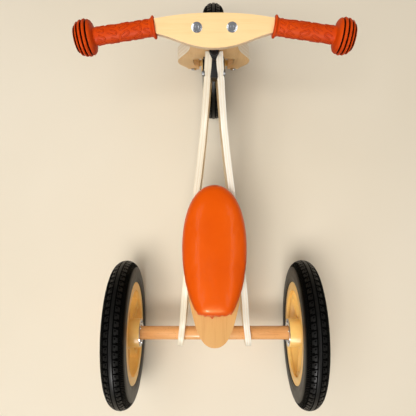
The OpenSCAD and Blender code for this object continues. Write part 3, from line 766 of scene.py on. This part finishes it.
def pad_outline():
    """The cushion's plan, in mm, with y from the rear axle: the right half, then the left."""
    right = (bez((0, 52.5), (20, 53), (30, 52), (36, 63), 12)
             + bez((36, 63), (45, 82), (53, 104), (56, 128), 10)
             + bez((56, 128), (59, 146), (60.5, 160), (60.5, 180), 6)
             + bez((60.5, 180), (60.5, 238), (42, 297), (0, 297), 18) + [(0, 297)])
    return right + [(-x, y) for x, y in right[-2:0:-1]]


def cushion(lo, hi):
    """Closed form of the cushion before it swells: flat base, bullnose side, crowned top."""
    ring = np.array(pad_outline())
    ring[:, 1] += REAR_L.y * MM
    mid_y = (lo.y + hi.y) / 2 * MM
    n = len(ring)
    base_z = lo.z * MM
    thick = hi.z * MM - base_z
    # share of the plan and height above the base, from the underside's middle to the top's
    section = [(0.5, 0.4), (0.86, 0.4), (0.955, 0.4), (0.985, 2.2), (0.998, 6.5), (1.0, 11.5),
               (0.99, 16.5), (0.965, 21), (0.92, 25), (0.85, 28.4), (0.74, 31.2), (0.58, 33.5),
               (0.40, 34.9), (0.2, 35.5)]
    verts = [(0.0, mid_y / MM, base_z / MM)]
    for share, z in section:
        for p in ring:
            # shrink towards the middle line more evenly than towards one point
            target = np.array([0.0, np.clip(p[1], lo.y * MM + PAD_SPINE, hi.y * MM - PAD_SPINE)])
            q = p + (target - p) * (1 - share)
            verts.append((q[0] / MM, q[1] / MM, (base_z + z * thick / PAD_THICK) / MM))
    verts.append((0.0, mid_y / MM, (base_z + PAD_CROWN * thick / PAD_THICK) / MM))
    top = len(verts) - 1
    last = 1 + (len(section) - 1) * n
    faces = [(0, 1 + (i + 1) % n, 1 + i) for i in range(n)]
    faces += [tuple(1 + v for v in f) for f in grid_faces(len(section), n)]
    faces += [(last + i, last + (i + 1) % n, top) for i in range(n)]
    me = bpy.data.meshes.new("cushion_orange")
    me.from_pydata(verts, [], faces)
    me.validate()
    return add_object("cushion_orange", me)


def apply_modifiers(o):
    dg = bpy.context.evaluated_depsgraph_get()
    me = bpy.data.meshes.new_from_object(o.evaluated_get(dg))
    old = o.data
    o.modifiers.clear()
    o.data = me
    bpy.data.meshes.remove(old)


def points(o):
    return np.array([v.co for v in o.data.vertices])


def inflate(o):
    """Swells the padding by cloth simulation, with the underside held flat on its board."""
    rm = o.modifiers.new("voxels", "REMESH")
    rm.mode = "VOXEL"
    rm.voxel_size = VOXEL
    apply_modifiers(o)
    rest = points(o)
    pin = o.vertex_groups.new(name="pin")
    base = [v.index for v in o.data.vertices if v.co.z < PAD_LO.z + PIN_BAND]
    pin.add(base, 1.0, "REPLACE")
    cl = o.modifiers.new("cloth", "CLOTH")
    cl.settings.use_pressure = True
    cl.settings.uniform_pressure_force = 4.0
    cl.settings.effector_weights.gravity = 0.0
    cl.settings.vertex_group_mass = "pin"
    cl.settings.quality = 6
    cl.settings.mass = 0.25
    cl.settings.tension_stiffness = 22
    cl.settings.compression_stiffness = 22
    cl.settings.shear_stiffness = 8
    cl.settings.bending_stiffness = 0.6
    cl.point_cache.frame_start = 1
    cl.point_cache.frame_end = SWELL_FRAMES
    for f in range(1, SWELL_FRAMES + 1):
        bpy.context.scene.frame_set(f)
    apply_modifiers(o)
    bpy.context.scene.frame_set(1)
    move = points(o) - rest
    size = np.linalg.norm(move, axis=1, keepdims=True)
    move *= np.minimum(1.0, SWELL_CAP / np.maximum(size, 1e-9))
    co = rest + move
    co[:, 2] = np.maximum(co[:, 2], PAD_LO.z + BASE_GAP)
    o.data.vertices.foreach_set("co", co.ravel())


def shape_pad(o):
    """Puckers where the cover is drawn under at the tail, the point that it is gathered to
    behind the tail, and a soft channel round the base."""
    co = points(o)
    x = co[:, 0] * MM
    y = (co[:, 1] - REAR_L.y) * MM
    z = (co[:, 2] - PAD_LO.z) * MM
    tail = smooth(80, 60, y) * smooth(29, 14, z)
    pucker = 0.9 * np.sin(x * 0.52 + 0.6) + 0.7 * np.sin(x * 0.93 + 1.9)
    co[:, 1] += tail * pucker * 0.0010
    co[:, 2] += tail * pucker * 0.0005
    # the gathered point, a little to the left of the middle
    point = np.exp(-((x + 5.0) / 3.6) ** 2) * smooth(17, 9, z) * smooth(66, 58, y)
    co[:, 1] -= point * 0.0042
    # the channel just above the base, where the cover turns under
    edge = np.exp(-((z - 3.0) / 2.2) ** 2)
    dx, dy = x, y - np.clip(y, 108, 236)
    d = np.sqrt(dx * dx + dy * dy) + 1e-6
    out = smooth(30, 50, d)
    co[:, 0] -= edge * out * dx / d * 0.0012
    co[:, 1] -= edge * out * dy / d * 0.0012
    o.data.vertices.foreach_set("co", co.ravel())
    o.data.update()


pad = cushion(PAD_LO, PAD_HI)
inflate(pad)
sub = pad.modifiers.new("fine", "SUBSURF")
sub.levels = sub.render_levels = 1
apply_modifiers(pad)
shape_pad(pad)
pad.data.materials.clear()
pad.data.materials.append(M["pad"])
pad.data.polygons.foreach_set("use_smooth", [True] * len(pad.data.polygons))
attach(pad, "frame")
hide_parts("seat_cushion")


# ---------------------------------------------------------------- stage

FLOOR_HALF = 9.0    # half of the floor's side, in metres
FLOOR_GAP = 0.0003  # how far the floor lies under the tyres


def floor_material():
    m = Mat("paper_floor")
    n = m.noise(m.coords(), 260.0, 3, 0.6)
    big = m.noise(m.coords(), 1.4, 3, 0.5)
    m.color(m.ramp(big, [(0.3, srgb(238, 226, 204)), (0.7, srgb(244, 233, 213))]))
    m.rough(n, 0.85, 0.95)
    m.set(Specular_IOR_Level=0.15)
    return m.m


floor_mesh = bpy.data.meshes.new("floor")
corners = [(x * FLOOR_HALF, y * FLOOR_HALF, 0) for x, y in ((-1, -1), (1, -1), (1, 1), (-1, 1))]
floor_mesh.from_pydata(corners, [], [(0, 1, 2, 3)])
floor_mesh.materials.append(floor_material())
floor = add_object("floor", floor_mesh)
floor.location.z = cad_box[0].z - FLOOR_GAP

world = bpy.data.worlds.new("studio")
bpy.context.scene.world = world
world.use_nodes = True
sky = world.node_tree.nodes["Background"]
sky.inputs["Color"].default_value = (1.0, 0.975, 0.94, 1)
sky.inputs["Strength"].default_value = 0.30


def softbox(name, place, target, width, length, power, colour, glossy=True, diffuse=True):
    """A rectangular light that faces target, its length as near to the world's Y as it can be."""
    d = bpy.data.lights.new(name, "AREA")
    d.shape = "RECTANGLE"
    d.size = width
    d.size_y = length
    d.energy = power
    d.color = colour
    o = add_object(name, d)
    back = (Vector(place) - Vector(target)).normalized()
    side = Vector((0, 1, 0)).cross(back).normalized()
    turn = Matrix((side, back.cross(side), back)).transposed()
    o.matrix_world = Matrix.Translation(Vector(place)) @ turn.to_4x4()
    o.visible_glossy = glossy
    o.visible_diffuse = diffuse


WARM = (1.0, 0.98, 0.95)
softbox("top", (-0.32, -0.65, 2.8), (-0.05, 0, 0), 1.0, 1.0, 47, (1.0, 0.985, 0.955), glossy=False)
softbox("strip_left", (-1.0, -0.4, 2.3), (0, -0.1, 0.3), 0.5, 2.2, 12, WARM)
softbox("strip_right", (1.15, -0.4, 2.3), (0, -0.1, 0.3), 0.5, 2.2, 12, WARM, diffuse=False)
softbox("rear", (-0.2, -2.2, 1.6), (0, -0.2, 0.2), 0.14, 0.7, 62, WARM, diffuse=False)


# ---------------------------------------------------------------- camera

# It looks down at PITCH below the horizon, is turned by YAW about Z and then by TURN sideways
PITCH, YAW, TURN = (math.radians(v) for v in (85.0, -0.176, -0.477))
SENSOR, LENS = 36.0, 39.4615385  # millimetres
# Across from the middle plane, ahead of the rear axle and above the ground, in metres
CAMERA_X, CAMERA_AHEAD, CAMERA_H = -0.0049, 0.1786, 1.1362

cam_data = bpy.data.cameras.new("camera")
cam_data.sensor_width = SENSOR
cam_data.lens = LENS
cam = add_object("camera", cam_data)
yaw = Matrix.Rotation(YAW, 3, "Z")
ahead = yaw @ Vector((0, math.cos(PITCH), -math.sin(PITCH)))
up = yaw @ Vector((0, math.sin(PITCH), math.cos(PITCH)))
right = yaw @ Vector((1, 0, 0))
fwd = ahead * math.cos(TURN) + right * math.sin(TURN)
right = right * math.cos(TURN) - ahead * math.sin(TURN)
cam_place = Vector((CAMERA_X, REAR_L.y + CAMERA_AHEAD, CAMERA_H))
cam.matrix_world = Matrix.Translation(cam_place) @ Matrix((right, up, -fwd)).transposed().to_4x4()
bpy.context.scene.camera = cam
bpy.context.scene.view_settings.view_transform = "Standard"
